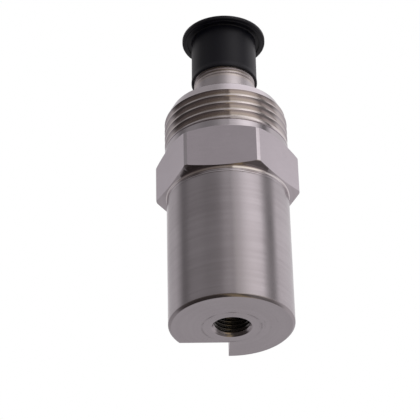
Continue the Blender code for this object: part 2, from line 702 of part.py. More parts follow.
def make_wires(parts, plastic, bottoms):
    """Make the signal wire from the crystals and the two wires to the connector pins."""
    tab_top = bottoms["signal_contact"] + CONTACT_THICKNESS + SEAT_GAP
    roof = SHIELD_TOP - SHIELD_WALL
    route = [
        (WIRE_LANE, 0.0, tab_top),
        (WIRE_LANE, 0.0, (tab_top + STACK_TOP) / 2),
        (WIRE_LANE, 0.0, bottoms["spring_washer"]),
        (WIRE_LANE / 2 + POST_RADIUS, 0.0, (STACK_TOP + roof) / 2),
        (WIRE_RADIUS, 0.0, roof),
        (0.0, 0.0, BOARD_BOTTOM),
        (0.0, 0.0, PART_BOTTOM + 2 * WIRE_RADIUS),
    ]
    wire("signal_wire", route, parts, plastic)
    tail = SEAL_BOTTOM - PIN_TAIL - SEAT_GAP
    for (x, y), letter in zip(landing_points(), "ab"):
        side = math.copysign(1.0, x)
        pin_x = side * PIN_SPACING / 2
        route = [
            (x, y, PART_BOTTOM),
            (x, y, PART_BOTTOM + CAN_HEIGHT),
            ((x + pin_x) / 2, y / 2, (PART_BOTTOM + CAN_HEIGHT + HEADER_CEILING) / 2),
            (pin_x, 0.0, HEADER_CEILING),
            (pin_x, 0.0, tail),
        ]
        wire("pin_wire_" + letter, route, parts, plastic)


def make_finishes():
    """Return the materials by name."""
    return {
        "steel": principled("stainless_steel", (0.55, 0.52, 0.52), 0.3, 1.0),
        "rubber": principled("black_vinyl", (0.012, 0.012, 0.014), 0.45, 0.0),
        "glass": principled("seal_glass", (0.05, 0.12, 0.09), 0.1, 0.0),
        "ceramic": principled("ceramic", (0.75, 0.72, 0.66), 0.5, 0.0),
        "brass": principled("contact_brass", (0.75, 0.55, 0.25), 0.3, 1.0),
        "plastic": principled("insulator_plastic", (0.6, 0.1, 0.06), 0.4, 0.0),
        "laminate": principled("board_laminate", (0.03, 0.22, 0.08), 0.4, 0.0),
        "resin": principled("component_resin", (0.6, 0.35, 0.05), 0.4, 0.0),
    }


def main():
    """Build the sensor."""
    clear_scene()
    parts = make_collection("vibration_sensor")
    cutters = make_collection("cutters")
    finishes = make_finishes()
    make_case(parts, cutters, finishes["steel"])
    make_header(parts, cutters, finishes["steel"])
    make_connector_shell(parts, cutters, finishes["steel"])
    make_glass_seal(parts, cutters, finishes["glass"])
    make_contact_pins(parts, finishes["steel"])
    make_dust_cap(parts, finishes["rubber"])
    make_isolator(parts, finishes["ceramic"])
    bottoms = make_stack(parts, cutters, finishes)
    make_shield(parts, finishes["steel"])
    make_board(parts, cutters, finishes)
    make_components(parts, cutters, finishes)
    make_wires(parts, finishes["plastic"], bottoms)
    for item in list(parts.objects):
        if item.type == "MESH":
            baked(item)


main()
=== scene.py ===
"""The finished look of an industrial vibration sensor, standing on its mounting face.

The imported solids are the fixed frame. The case, the header, the connector shell and the dust cap are
worked again here with fine threads, softened edges and lathe marks. The pieces inside the sealed
case keep their solids and get their finishes. Sizes in the classes are in millimetres, and each
finished mesh is brought to metres.
"""

import json
import logging
import math
from dataclasses import dataclass, field
from enum import Enum
from typing import Any, Callable, Mapping, Sequence

import bmesh
import bpy
from mathutils import Matrix, Vector


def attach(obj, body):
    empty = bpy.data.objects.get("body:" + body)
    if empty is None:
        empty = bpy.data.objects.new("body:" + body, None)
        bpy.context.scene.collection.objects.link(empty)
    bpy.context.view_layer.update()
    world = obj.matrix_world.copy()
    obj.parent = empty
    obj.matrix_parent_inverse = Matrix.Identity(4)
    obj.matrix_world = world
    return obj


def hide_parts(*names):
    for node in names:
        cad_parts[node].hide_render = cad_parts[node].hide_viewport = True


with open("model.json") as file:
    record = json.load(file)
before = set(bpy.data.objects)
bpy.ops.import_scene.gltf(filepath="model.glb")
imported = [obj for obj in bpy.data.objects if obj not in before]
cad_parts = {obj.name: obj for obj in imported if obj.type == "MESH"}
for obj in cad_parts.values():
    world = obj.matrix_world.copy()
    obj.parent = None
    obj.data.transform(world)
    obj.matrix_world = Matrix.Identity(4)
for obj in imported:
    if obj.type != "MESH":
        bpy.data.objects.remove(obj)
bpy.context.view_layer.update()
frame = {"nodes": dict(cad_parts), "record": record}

MM = 0.001
IMAGE_PIXELS = 420
AXIS = Vector((0.0, 0.0, 1.0))
CENTRE = Vector((0.0, 0.0, 0.0))
HALF = 0.5
JOINT_GAP = 0.3  # millimetres that the solids leave for a weld
WELD_INSET = 0.01  # how far a weld stays off the faces beside it
WHITE = (1.0, 1.0, 1.0)
OBJECT_PLACE = 3  # the output of Texture Coordinate that keeps to the object
BACK_FACING = 6  # the output of Geometry that tells the underside
GLOSSY_RAY, TRANSMITTED_RAY = 3, 6  # outputs of Light Path; output 0 is the camera's ray

Colour = tuple[float, float, float]
log = logging.getLogger("sensor")


class Slot(Enum):
    """The record's material slots that the pieces take their finishes from."""

    CASE = "case_steel"
    HEADER = "header_steel"
    CONNECTOR = "connector_steel"
    INNER = "inner_steel"
    PIN = "pin_metal"
    BRASS = "contact_brass"
    VINYL = "cap_vinyl"
    GLASS = "seal_glass"
    CRYSTAL = "crystal_ceramic"
    CERAMIC = "white_ceramic"
    INSULATOR = "insulator_plastic"
    BOARD = "board_laminate"
    RESIN = "component_resin"
    JACKET = "wire_jacket"


class Signal:
    """A number, colour or vector on its way through the shader nodes, used like a Python value."""

    def __init__(self, graph: "Graph", node: bpy.types.Node, output: int) -> None:
        """Hold one output of a node.

        Args:
            graph: the graph that owns the node.
            node: the node that gives the value.
            output: the number of its output.
        """
        self.graph = graph
        self.node = node
        self.socket = node.outputs[output] if node.outputs else None

    def output(self, number: int) -> "Signal":
        """Return another output of the same node."""
        return Signal(self.graph, self.node, number)

    def __add__(self, other: "Signal | float") -> "Signal":
        """Return this value plus another."""
        return self.graph.maths("ADD", self, other)

    def __sub__(self, other: "Signal | float") -> "Signal":
        """Return this value less another."""
        return self.graph.maths("SUBTRACT", self, other)

    def __rsub__(self, other: float) -> "Signal":
        """Return a number less this value."""
        return self.graph.maths("SUBTRACT", other, self)

    def __mul__(self, other: "Signal | float") -> "Signal":
        """Return this value times another."""
        return self.graph.maths("MULTIPLY", self, other)

    def __truediv__(self, other: "Signal | float") -> "Signal":
        """Return this value over another."""
        return self.graph.maths("DIVIDE", self, other)

    def __gt__(self, other: "Signal | float") -> "Signal":
        """Return 1 where this value is greater than another, and 0 elsewhere."""
        return self.graph.maths("GREATER_THAN", self, other)

    __radd__ = __add__
    __rmul__ = __mul__

    def power(self, exponent: float) -> "Signal":
        """Return this value raised to a power."""
        return self.graph.maths("POWER", self, exponent)

    def size(self) -> "Signal":
        """Return this value without its sign."""
        return self.graph.maths("ABSOLUTE", self)

    def sine(self) -> "Signal":
        """Return the sine of this value."""
        return self.graph.maths("SINE", self)

    def most(self, other: "Signal | float") -> "Signal":
        """Return the greater of two values."""
        return self.graph.maths("MAXIMUM", self, other)

    def rise(self, low: float, high: float) -> "Signal":
        """Return a smooth step.

        Args:
            low: where the step leaves 0.
            high: where it reaches 1; below low, the step falls instead.

        Returns:
            The step as a value from 0 to 1.
        """
        ends = (0.0, 1.0) if low < high else (1.0, 0.0)
        return self.graph.node(
            "ShaderNodeMapRange", {"interpolation_type": "SMOOTHSTEP"},
            {0: self, 1: min(low, high), 2: max(low, high), 3: ends[0], 4: ends[1]})


class Graph:
    """The shader nodes of one material or of the world."""

    def __init__(self, owner: bpy.types.Material | bpy.types.World) -> None:
        """Empty the owner's node tree and take it over.

        Args:
            owner: the material or world whose nodes are made.
        """
        owner.use_nodes = True
        self.tree = owner.node_tree
        self.tree.nodes.clear()

    def node(self, kind: str, settings: Mapping[str, Any], sockets: Mapping[Any, Any],
             output: int = 0) -> Signal:
        """Add a node.

        Args:
            kind: the node's type.
            settings: its properties, which are set first; "stops" gives a ramp's colours.
            sockets: numbers, colours or signals by the name or number of the input.
            output: the number of the output that is returned.

        Returns:
            The node's output as a signal.
        """
        node = self.tree.nodes.new(kind)
        for name, value in settings.items():
            if name == "stops":
                self.set_stops(node.color_ramp, value)
            else:
                setattr(node, name, value)
        for key, value in sockets.items():
            socket = node.inputs[key]
            if isinstance(value, Signal):
                self.tree.links.new(value.socket, socket)
            elif socket.type == "RGBA":
                socket.default_value = (*value, 1.0)
            else:
                socket.default_value = value
        return Signal(self, node, output)

    @staticmethod
    def set_stops(ramp: bpy.types.ColorRamp, stops: Sequence[tuple[float, Colour]]) -> None:
        """Give a colour ramp its stops.

        Args:
            ramp: the ramp of the node.
            stops: places from 0 to 1 and their colours, in order.
        """
        while len(ramp.elements) < len(stops):
            ramp.elements.new(1.0)
        for element, (place, colour) in zip(ramp.elements, stops):
            element.position = place
            element.color = (*colour, 1.0)

    def maths(self, operation: str, *values: Signal | float) -> Signal:
        """Return the result of a Math node on signals and numbers."""
        return self.node("ShaderNodeMath", {"operation": operation}, dict(enumerate(values)))

    def vector(self, x: Signal | float, y: Signal | float, z: Signal | float) -> Signal:
        """Return a vector made of three values."""
        return self.node("ShaderNodeCombineXYZ", {}, {0: x, 1: y, 2: z})

    def dot(self, first: Signal, second: Vector) -> Signal:
        """Return how far one vector reaches along a fixed one."""
        return self.node("ShaderNodeVectorMath", {"operation": "DOT_PRODUCT"},
                         {0: first, 1: tuple(second)}, output=1)

    def mix(self, factor: Signal, first: Signal | Colour, second: Signal | Colour) -> Signal:
        """Return a colour between two others.

        Args:
            factor: 0 for the first and 1 for the second.
            first: the colour at 0.
            second: the colour at 1.

        Returns:
            The mixed colour.
        """
        return self.node("ShaderNodeMix", {"data_type": "RGBA"}, {0: factor, 6: first, 7: second}, output=2)

    def noise(self, place: Signal, scale: float, detail: float) -> Signal:
        """Return smooth noise from 0 to 1.

        Args:
            place: where the noise is read.
            scale: cells per unit of place.
            detail: how many finer layers are added.

        Returns:
            The noise.
        """
        return self.node("ShaderNodeTexNoise", {}, {"Vector": place, "Scale": scale, "Detail": detail})

    def bump(self, height: Signal, depth: float) -> Signal:
        """Return a normal that leans with a height.

        Args:
            height: the relief, from 0 to 1.
            depth: its depth in metres.

        Returns:
            The leaning normal.
        """
        return self.node("ShaderNodeBump", {}, {"Strength": 1.0, "Distance": depth, "Height": height})


class Surface(Graph):
    """The nodes of one material, with the places that its patterns are drawn from."""

    def __init__(self, name: str) -> None:
        """Start a material.

        Args:
            name: the material's name.
        """
        self.material = bpy.data.materials.new(name)
        super().__init__(self.material)
        self.place = self.node("ShaderNodeTexCoord", {}, {}, output=OBJECT_PLACE)
        self.x = self.node("ShaderNodeSeparateXYZ", {}, {0: self.place})
        self.y = self.x.output(1)
        self.z = self.x.output(2)
        self.radius = (self.x * self.x + self.y * self.y).power(HALF)

    def between(self, span: tuple[float, float]) -> Signal:
        """Return 1 between two heights in millimetres, and 0 elsewhere."""
        low, high = (height * MM for height in span)
        return (self.z > low) * (1.0 - (self.z > high))

    def rings(self, pitch: float, wander: float) -> Signal:
        """Return the marks that a turning tool leaves round the axis.

        Args:
            pitch: the width of one mark in metres.
            wander: how much the marks change along their length.

        Returns:
            The relief, from 0 to 1.
        """
        cells = 1.0 / pitch
        along = self.x * (cells * wander)
        return self.noise(self.vector(self.radius * cells, along, self.z * cells), 1.0, 1.0)

    def finish(self, sockets: Mapping[str, Any]) -> bpy.types.Material:
        """Close the material with its shader.

        Args:
            sockets: numbers, colours or signals by the names of the shader's inputs.

        Returns:
            The material.
        """
        shader = self.node("ShaderNodeBsdfPrincipled", {}, sockets)
        self.node("ShaderNodeOutputMaterial", {}, {"Surface": shader})
        return self.material


@dataclass(frozen=True)
class TurnedMetal:
    """Metal off the lathe: fine rings, a few coarser bands and a faint bloom of handling.

    The groove fields place the painted shading of a thread: its root and flanks take a painted tone
    that stands in for their light and shade, and its crest a painted highlight. The painted highlight
    span is a paler band painted on the weld ring as its highlight. Both are in millimetres. The hole
    shade and face wear are painted shade inside the mounting hole and the wear of a mounting face.
    """

    name: str
    colour: Colour
    shade: Colour
    roughness: float
    grain: float = 0.7
    pitch: float = 0.00012
    depth: float = 0.0000012
    groove_span: tuple[float, float] = (0.0, 0.0)
    groove_crest: float = 0.0
    groove_depth: float = 1.0
    # Painted tone standing in for light and shade in the thread roots and flanks, and painted shade inside the
    # mounting hole.
    painted_recess_shading: Colour = (0.3, 0.2, 0.1)
    # Painted highlight on the thread crests.
    painted_crest_highlight: Colour = (0.67, 0.61, 0.59)
    # A paler band painted on the weld ring as its highlight.
    painted_highlight_span: tuple[float, float] | None = None
    painted_highlight_colour: Colour = (0.98, 0.93, 0.93)
    hole_shade_and_face_wear: bool = False
    witness_radius: float = 0.0073
    scuff_side: float = 0.0085
    hole_radius: float = 0.0050
    wear_tone: float = 0.55

    def grooves(self, surface: Surface) -> tuple[Signal, Signal]:
        """Return masks that are 1 at the root and on the crest of the threads, for their painted shading.

        Args:
            surface: the material's nodes.

        Returns:
            The root's mask and the crest's.
        """
        inside = surface.between(self.groove_span)
        depth = (self.groove_crest * MM - surface.radius) / (self.groove_depth * MM)
        return depth.rise(0.04, 0.6) * inside, depth.rise(0.03, 0.0) * inside

    def face_wear(self, surface: Surface) -> Signal:
        """Return the witness ring of a washer and the scuffs beside it on the mounting face.

        Args:
            surface: the material's nodes.

        Returns:
            The wear, from 0 to 1.
        """
        face = surface.z.rise(0.00012, 0.00002)
        patch = surface.noise(surface.place, 260.0, 1.0)
        ring = (surface.radius - self.witness_radius).size().rise(0.0004, 0.00005) * patch.rise(0.34, 0.6)
        scuff = surface.noise(surface.vector(surface.radius * 9.0, surface.x, surface.y), 420.0, 3.0)
        beside = (surface.x - self.scuff_side).size().rise(0.0035, 0.0005) * surface.y.size().rise(0.004, 0.0005)
        return face * ring.most(scuff.rise(0.56, 0.7) * beside)

    def material(self) -> bpy.types.Material:
        """Return the material with its rings, bands and bloom."""
        surface = Surface(self.name)
        fine = surface.rings(self.pitch, 0.05)
        coarse = surface.rings(self.pitch * 7.0, 0.02)
        bloom = surface.noise(surface.place, 70.0, 3.0)
        tone = coarse.rise(0.3, 0.7) * 0.35 + bloom.rise(0.25, 0.75) * 0.4
        colour = surface.mix(tone, self.colour, self.shade)
        roughness = self.roughness + (bloom - HALF) * 0.16 + (coarse - HALF) * 0.06
        if self.groove_crest:
            # Painted light and shade on the threads: the roots and flanks take a painted tone, the crests a painted
            # highlight.
            roots, crests = self.grooves(surface)
            colour = surface.mix(crests, surface.mix(roots, colour, self.painted_recess_shading), self.painted_crest_highlight)
        # A paler band painted on the weld ring as its highlight.
        if self.painted_highlight_span:
            colour = surface.mix(surface.between(self.painted_highlight_span), colour, self.painted_highlight_colour)
        if self.hole_shade_and_face_wear:
            # Painted shade inside the mounting hole.
            inside = surface.radius.rise(self.hole_radius, self.hole_radius - 0.0003) * surface.z.rise(0.0006, 0.0018)
            colour = surface.mix(inside, colour, self.painted_recess_shading)
            wear = self.face_wear(surface)
            colour = surface.mix(wear * 0.45, colour, tuple(part * self.wear_tone for part in self.shade))
            roughness = roughness + wear * 0.12
        return surface.finish({
            "Base Color": colour, "Metallic": 1.0, "Roughness": roughness, "Anisotropic": self.grain,
            "Anisotropic Rotation": 0.25, "Normal": surface.bump(fine, self.depth)})


@dataclass(frozen=True)
class MilledMetal:
    """Flat metal from a face mill: long faint sweeps and a satin ground."""

    name: str
    colour: Colour
    shade: Colour
    roughness: float

    def material(self) -> bpy.types.Material:
        """Return the material with its sweeps."""
        surface = Surface(self.name)
        stretched = surface.vector(surface.x * 260.0, surface.y * 260.0, surface.z * 2600.0)
        sweeps = surface.noise(stretched, 1.0, 2.0)
        bloom = surface.noise(surface.place, 90.0, 3.0)
        tone = sweeps.rise(0.3, 0.7) * 0.3 + bloom.rise(0.3, 0.75) * 0.5
        roughness = self.roughness + (bloom - HALF) * 0.14
        return surface.finish({
            "Base Color": surface.mix(tone, self.colour, self.shade), "Metallic": 1.0,
            "Roughness": roughness, "Normal": surface.bump(sweeps, 0.0000008)})


@dataclass(frozen=True)
class SoftVinyl:
    """Black moulded vinyl with a fine grain and a dusty bloom."""

    name: str
    colour: Colour
    dust: Colour
    roughness: float
    shine: float = 0.30

    def material(self) -> bpy.types.Material:
        """Return the material with its grain and dust."""
        surface = Surface(self.name)
        grain = surface.noise(surface.place, 5200.0, 2.0)
        flow = surface.noise(surface.vector(surface.x, surface.y, surface.z * 0.3), 160.0, 3.0)
        dust = surface.noise(surface.place, 900.0, 4.0).rise(0.62, 0.8) * 0.25 + flow.rise(0.4, 0.8) * 0.3
        roughness = self.roughness + (flow - HALF) * 0.16 + (grain - HALF) * 0.05
        return surface.finish({
            "Base Color": surface.mix(dust, self.colour, self.dust), "Roughness": roughness,
            "Specular IOR Level": self.shine, "Normal": surface.bump(grain, 0.0000025)})


@dataclass(frozen=True)
class Grained:
    """A fired, fused or moulded body: two tones in grains of one size, with specks."""

    name: str
    colour: Colour
    second: Colour
    grain: float
    roughness: float
    depth: float = 0.000002
    coat: float = 0.0

    def material(self) -> bpy.types.Material:
        """Return the material with its grains and specks."""
        surface = Surface(self.name)
        cells = surface.noise(surface.place, 1.0 / self.grain, 3.0)
        specks = surface.noise(surface.place, 3.7 / self.grain, 1.0).rise(0.66, 0.74)
        tone = cells.rise(0.35, 0.65) * 0.7 + specks * 0.3
        return surface.finish({
            "Base Color": surface.mix(tone, self.colour, self.second),
            "Roughness": self.roughness + (cells - HALF) * 0.12, "Coat Weight": self.coat,
            "Normal": surface.bump(cells, self.depth)})


@dataclass(frozen=True)
class BoardLaminate:
    """Green solder mask over a glass weave, with paler tracks that turn round the board."""

    name: str
    mask: Colour
    track: Colour
    weave_pitch: float = 0.0006
    track_pitch: float = 0.0021

    def material(self) -> bpy.types.Material:
        """Return the material with its weave and tracks."""
        surface = Surface(self.name)
        turn = math.tau / self.weave_pitch
        weave = (surface.x * turn).sine() * (surface.y * turn).sine() * HALF + HALF
        bent = surface.noise(surface.place, 240.0, 1.0) * 0.0016
        tracks = ((surface.radius + bent) * (math.tau / self.track_pitch)).sine().rise(0.72, 0.8)
        colour = surface.mix(tracks * 0.8, self.mask, self.track)
        return surface.finish({
            "Base Color": colour, "Roughness": 0.32 + weave * 0.1, "Coat Weight": 0.3,
            "Normal": surface.bump(tracks + weave * 0.15, 0.00002)})


FINISHES = {
    # The case's recess colour is painted shade inside its mounting hole; the face wear is real wear.
    Slot.CASE: TurnedMetal("case_steel_turned", (0.50, 0.465, 0.48), (0.45, 0.415, 0.43), 0.20, depth=0.0000006,
                           painted_recess_shading=(0.16, 0.152, 0.148), hole_shade_and_face_wear=True),
    # The header's collar thread is painted paler in its roots and flanks as painted light, with painted highlights on
    # the crests and a paler band painted on the weld ring as its highlight.
    Slot.HEADER: TurnedMetal("header_steel_turned", (0.60, 0.56, 0.58), (0.54, 0.50, 0.515), 0.10,
                             groove_span=(51.3, 60.3), groove_crest=15.8, groove_depth=1.15,
                             painted_recess_shading=(0.74, 0.69, 0.67), painted_highlight_span=(36.32, 36.84)),
    # The connector's neck thread gets a darker tone painted into its roots and flanks as painted shade.
    Slot.CONNECTOR: TurnedMetal("connector_steel_turned", (0.68, 0.64, 0.655), (0.62, 0.58, 0.595), 0.33,
                                groove_span=(70.0, 86.0), groove_crest=7.94, groove_depth=0.6,
                                painted_recess_shading=(0.58, 0.54, 0.51)),
    Slot.INNER: TurnedMetal("inner_steel_turned", (0.52, 0.51, 0.50), (0.44, 0.43, 0.42), 0.3),
    Slot.PIN: TurnedMetal("pin_gold_plate", (0.86, 0.66, 0.32), (0.76, 0.55, 0.22), 0.18, grain=0.2),
    Slot.BRASS: TurnedMetal("contact_brass_strip", (0.78, 0.58, 0.28), (0.66, 0.46, 0.2), 0.28, grain=0.3),
    Slot.VINYL: SoftVinyl("cap_vinyl_moulded", (0.0016, 0.0016, 0.0042), (0.0034, 0.0034, 0.0075), 0.39),
    Slot.GLASS: Grained("seal_glass_fused", (0.05, 0.12, 0.09), (0.09, 0.17, 0.13), 0.0009, 0.1, coat=0.5),
    Slot.CRYSTAL: Grained("crystal_ground", (0.62, 0.57, 0.45), (0.52, 0.46, 0.35), 0.0002, 0.5),
    Slot.CERAMIC: Grained("ceramic_ground", (0.84, 0.82, 0.78), (0.76, 0.73, 0.68), 0.0003, 0.42),
    Slot.INSULATOR: Grained("insulator_machined", (0.78, 0.74, 0.62), (0.68, 0.63, 0.5), 0.0008, 0.4),
    Slot.BOARD: BoardLaminate("board_laminate_masked", (0.02, 0.17, 0.07), (0.06, 0.3, 0.12)),
    Slot.RESIN: Grained("component_resin_moulded", (0.55, 0.3, 0.06), (0.42, 0.21, 0.03), 0.0012, 0.35),
    Slot.JACKET: Grained("wire_jacket_extruded", (0.78, 0.75, 0.7), (0.68, 0.64, 0.58), 0.0006, 0.3),
}
FLAT_STEEL = MilledMetal("header_steel_milled", (0.585, 0.535, 0.565), (0.535, 0.49, 0.52), 0.21)


@dataclass(frozen=True)
class Corner:
    """One corner of a turned profile, and how far it is softened."""

    radius: float
    height: float
    soft: float = 0.0


def placed(name: str, data: bpy.types.ID) -> bpy.types.Object:
    """Return a new object of the scene that holds a mesh, a camera or a lamp."""
    item = bpy.data.objects.new(name, data)
    bpy.context.scene.collection.objects.link(item)
    return item


def turned(corners: Sequence[Corner], steps: int, rounding: int = 3) -> bmesh.types.BMesh:
    """Turn a profile about the axis.

    Args:
        corners: the profile. It closes into a ring unless it starts on the axis.
        steps: facets in a full turn.
        rounding: facets on each softened corner.

    Returns:
        The closed shape, with its faces pointing out.
    """
    shape = bmesh.new()
    points = [shape.verts.new((corner.radius, 0.0, corner.height)) for corner in corners]
    for first, second in zip(points, points[1:]):
        shape.edges.new((first, second))
    if corners[0].radius > 0.0:
        shape.edges.new((points[-1], points[0]))
    for point, corner in zip(points, corners):
        if corner.soft:
            bmesh.ops.bevel(shape, geom=[point], affect="VERTICES", offset=corner.soft,
                            segments=rounding, profile=HALF, material=-1)
    bmesh.ops.spin(shape, geom=shape.verts[:] + shape.edges[:], cent=CENTRE, axis=AXIS, dvec=CENTRE,
                   angle=math.tau, steps=steps, use_merge=True)
    bmesh.ops.remove_doubles(shape, verts=shape.verts[:], dist=0.0001)
    bmesh.ops.recalc_face_normals(shape, faces=shape.faces[:])
    return shape


def block(size: Vector, centre: Vector, yaw: float = 0.0) -> bmesh.types.BMesh:
    """Make a rectangular tool.

    Args:
        size: its length along X, Y and Z.
        centre: its middle, before it is turned about the axis.
        yaw: the turn about the axis, in radians.

    Returns:
        The closed shape.
    """
    shape = bmesh.new()
    bmesh.ops.create_cube(shape, size=1.0)
    bmesh.ops.scale(shape, vec=size, verts=shape.verts[:])
    bmesh.ops.translate(shape, vec=centre, verts=shape.verts[:])
    bmesh.ops.rotate(shape, cent=CENTRE, matrix=Matrix.Rotation(yaw, 3, "Z"), verts=shape.verts[:])
    return shape


@dataclass(frozen=True)
class Thread:
    """A helical groove. The root lies inside the crest on a bolt and outside it in a hole.

    The root is softened by a share of its flat, and the tool reaches past the crest by so many edges.
    """

    crest: float
    root: float
    pitch: float
    start: float
    turns: float
    root_flat: float
    run_out: float
    edge: float
    steps: int
    heading: float = 0.0
    flank: float = math.radians(30)
    root_soft: float = 0.35
    overreach: float = 3.0

    def tool(self) -> bmesh.types.BMesh:
        """Return the closed helical shape that cuts the groove."""
        side = math.copysign(1.0, self.crest - self.root)
        low = self.root_flat * HALF
        high = low + (abs(self.crest - self.root) - self.edge) * math.tan(self.flank)
        outline = [(self.root, low), (self.crest - side * self.edge, high),
                   (self.crest, high + self.edge), (self.crest + side * self.overreach * self.edge, high + self.edge)]
        outline += [(radius, -half) for radius, half in reversed(outline)]
        shape = bmesh.new()
        points = [shape.verts.new((radius, 0.0, half)) for radius, half in outline]
        shape.faces.new(points)
        bmesh.ops.bevel(shape, geom=[points[0], points[-1]], affect="VERTICES",
                        offset=self.root_flat * self.root_soft, segments=2, profile=HALF, material=-1)
        bmesh.ops.spin(shape, geom=shape.verts[:] + shape.edges[:] + shape.faces[:], cent=CENTRE, axis=AXIS,
                       dvec=(0.0, 0.0, self.pitch / self.steps), angle=math.tau * self.turns,
                       steps=round(self.steps * self.turns))
        self.lift_out(shape, side)
        bmesh.ops.rotate(shape, cent=CENTRE, matrix=Matrix.Rotation(self.heading, 3, "Z"),
                         verts=shape.verts[:])
        bmesh.ops.translate(shape, vec=(0.0, 0.0, self.start), verts=shape.verts[:])
        bmesh.ops.recalc_face_normals(shape, faces=shape.faces[:])
        return shape

    def lift_out(self, shape: bmesh.types.BMesh, side: float) -> None:
        """Let the groove fade at both ends, as the tool enters and leaves the work.

        Args:
            shape: the tool, with its lower end at angle 0.
            side: 1 on a bolt and -1 in a hole.
        """
        if not self.run_out:
            return
        for point in shape.verts:
            angle = math.atan2(point.co.y, point.co.x) % math.tau / math.tau
            turn = round(point.co.z / self.pitch - angle) + angle
            lift = max(0.0, 1.0 - min(turn, self.turns - turn) / self.run_out)
            radius = point.co.xy.length
            growth = 1.0 + side * lift * lift * (abs(self.crest - self.root) + self.edge) / radius
            point.co.x *= growth
            point.co.y *= growth


def cut(shape: bmesh.types.BMesh, tools: Sequence[bmesh.types.BMesh]) -> bmesh.types.BMesh:
    """Cut a shape with tools.

    Args:
        shape: the work, which is used up.
        tools: the closed shapes that are taken away, which are used up too.

    Returns:
        What is left of the work.
    """
    holders = []
    for worked in (shape, *tools):
        mesh = bpy.data.meshes.new("worked")
        worked.to_mesh(mesh)
        worked.free()
        holders.append(placed("worked", mesh))
    for tool in holders[1:]:
        modifier = holders[0].modifiers.new("cut", "BOOLEAN")
        modifier.operation = "DIFFERENCE"
        modifier.solver = "EXACT"
        modifier.object = tool
    result = bmesh.new()
    result.from_object(holders[0], bpy.context.evaluated_depsgraph_get())
    for holder in holders:
        bpy.data.meshes.remove(holder.data)
    return result


@dataclass
class Workshop:
    """Keeps the materials and turns worked shapes into pieces of the sensor."""

    sharp: float = math.radians(34)
    made: dict[Any, bpy.types.Material] = field(default_factory=dict)

    def material(self, finish: Any) -> bpy.types.Material:
        """Return the material of a finish, made once.

        Args:
            finish: one of the finish classes, with its values.

        Returns:
            Its material.
        """
        if finish not in self.made:
            self.made[finish] = finish.material()
        return self.made[finish]

    def piece(self, name: str, shape: bmesh.types.BMesh, slot: Slot, nodes: Sequence[str],
              extra: Sequence[Any] = ()) -> bpy.types.Object:
        """Make a worked shape a piece of the sensor.

        Args:
            name: the piece's name.
            shape: its shape in millimetres, which is used up.
            slot: the material slot that it takes its finish from.
            nodes: the solids that it stands for.
            extra: further finishes for faces with a material number of 1 or more.

        Returns:
            The piece's object.
        """
        bmesh.ops.scale(shape, vec=(MM, MM, MM), verts=shape.verts[:])
        mesh = bpy.data.meshes.new(name)
        shape.to_mesh(mesh)
        shape.free()
        for finish in (FINISHES[slot], *extra):
            mesh.materials.append(self.material(finish))
        mesh.shade_smooth()
        mesh.set_sharp_from_angle(angle=self.sharp)
        item = placed(name, mesh)
        normals = item.modifiers.new("large faces lead", "WEIGHTED_NORMAL")
        normals.keep_sharp = True
        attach(item, "root")
        if nodes:
            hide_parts(*nodes)
        log.info("%s: %d faces", name, len(mesh.polygons))
        return item


@dataclass
class Case:
    """The turned case with its threaded mounting hole and the step milled out of its face."""

    radius: float = 15.5
    height: float = 35.5
    bore: float = 13.2
    floor: float = 14.0
    lip: float = 0.25
    chamfer: float = 0.6
    hole: float = 4.3
    hole_depth: float = 9.5
    sink: float = 0.7
    drill_tip: float = 12.084
    step_yaw: float = math.radians(6.5)
    step_wall: float = 7.8
    step_end: float = -0.36
    step_height: float = 6.0

    def body(self) -> bmesh.types.BMesh:
        """Return the turned cup before it is milled and threaded."""
        return turned([
            Corner(0.0, self.floor),
            Corner(self.bore, self.floor, 0.3),
            Corner(self.bore, self.height),
            Corner(self.radius - self.lip, self.height, 0.05),
            Corner(self.radius, self.height - self.lip, 0.08),
            Corner(self.radius, self.chamfer, 0.14),
            Corner(self.radius - self.chamfer, 0.0, 0.12),
            Corner(self.hole + self.sink, 0.0, 0.06),
            Corner(self.hole, self.sink, 0.05),
            Corner(self.hole, self.hole_depth),
            Corner(0.0, self.drill_tip),
        ], steps=256)

    def step(self) -> bmesh.types.BMesh:
        """Return the tool for the step in the mounting face."""
        reach = 2 * self.radius
        size = Vector((reach, reach, 2 * self.step_height))
        centre = Vector((self.step_end - reach * HALF, self.step_wall + reach * HALF, 0.0))
        return block(size, centre, self.step_yaw)

    def mounting_thread(self) -> Thread:
        """Return the 3/8 inch thread of the mounting hole."""
        return Thread(crest=self.hole, root=4.74, pitch=1.058, start=-0.9, turns=9.0, root_flat=0.14,
                      edge=0.07, run_out=0.0, steps=96)

    def build(self, workshop: Workshop) -> None:
        """Make the case and the weld that closes its joint with the header."""
        shape = cut(self.body(), [self.step(), self.mounting_thread().tool()])
        workshop.piece("case_turned", shape, Slot.CASE, ["case"])
        low, high = self.height + WELD_INSET, self.height + JOINT_GAP - WELD_INSET
        inner, outer = self.bore + 0.1, self.radius - 0.03
        weld = turned([
            Corner(inner, high),
            Corner(outer, high, 0.03),
            Corner(outer, self.height + 0.06 - self.lip, 0.02),
            Corner(self.radius + WELD_INSET - self.lip, low),
            Corner(inner, low),
        ], steps=192)
        workshop.piece("joint_weld", weld, Slot.HEADER, [])


